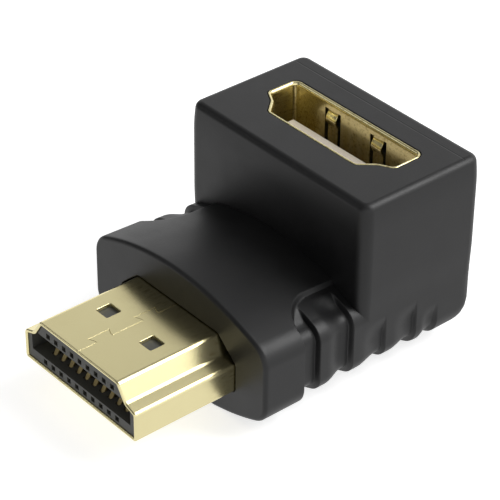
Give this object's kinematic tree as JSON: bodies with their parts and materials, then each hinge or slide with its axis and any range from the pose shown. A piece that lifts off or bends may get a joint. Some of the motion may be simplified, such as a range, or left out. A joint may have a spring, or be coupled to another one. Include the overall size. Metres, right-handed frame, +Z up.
{
  "type": "right angle hdmi adapter",
  "caption": "Right angle video adapter: a flat plug on a ribbed moulded head, and a matching socket that opens upwards in the box behind it.",
  "frame": {"origin": "on the rest face, under the middle of the whole adapter", "axes": "+Z up, the way the socket opens; the plug points along -Y; X runs across the plug"},
  "size_m": [0.021, 0.0314, 0.0171],
  "materials": {
    "overmould": "satin, finely grained",
    "inner_mould": "plain",
    "gold_sheet": "pale gold plate, smooth",
    "grey_insulator": "plain",
    "pale_insulator": "plain",
    "board": "coated laminate",
    "contact": "gold plate"
  },
  "bodies": {
    "root": {"overmould": "overmould", "inner_mould": "inner_mould", "plug_shell": "gold_sheet", "plug_insulator": "grey_insulator", "circuit_board": "board", "socket_shell": "gold_sheet", "socket_insulator": "pale_insulator", "plug_contact_wide_1": "contact", "plug_contact_wide_2": "contact", "plug_contact_wide_3": "contact", "plug_contact_wide_4": "contact", "plug_contact_wide_5": "contact", "plug_contact_wide_6": "contact", "plug_contact_wide_7": "contact", "plug_contact_wide_8": "contact", "plug_contact_wide_9": "contact", "plug_contact_wide_10": "contact", "plug_contact_narrow_1": "contact", "plug_contact_narrow_2": "contact", "plug_contact_narrow_3": "contact", "plug_contact_narrow_4": "contact", "plug_contact_narrow_5": "contact", "plug_contact_narrow_6": "contact", "plug_contact_narrow_7": "contact", "plug_contact_narrow_8": "contact", "plug_contact_narrow_9": "contact", "socket_contact_wide_1": "contact", "socket_contact_wide_2": "contact", "socket_contact_wide_3": "contact", "socket_contact_wide_4": "contact", "socket_contact_wide_5": "contact", "socket_contact_wide_6": "contact", "socket_contact_wide_7": "contact", "socket_contact_wide_8": "contact", "socket_contact_wide_9": "contact", "socket_contact_wide_10": "contact", "socket_contact_narrow_1": "contact", "socket_contact_narrow_2": "contact", "socket_contact_narrow_3": "contact", "socket_contact_narrow_4": "contact", "socket_contact_narrow_5": "contact", "socket_contact_narrow_6": "contact", "socket_contact_narrow_7": "contact", "socket_contact_narrow_8": "contact", "socket_contact_narrow_9": "contact"}
  },
  "joints": []
}
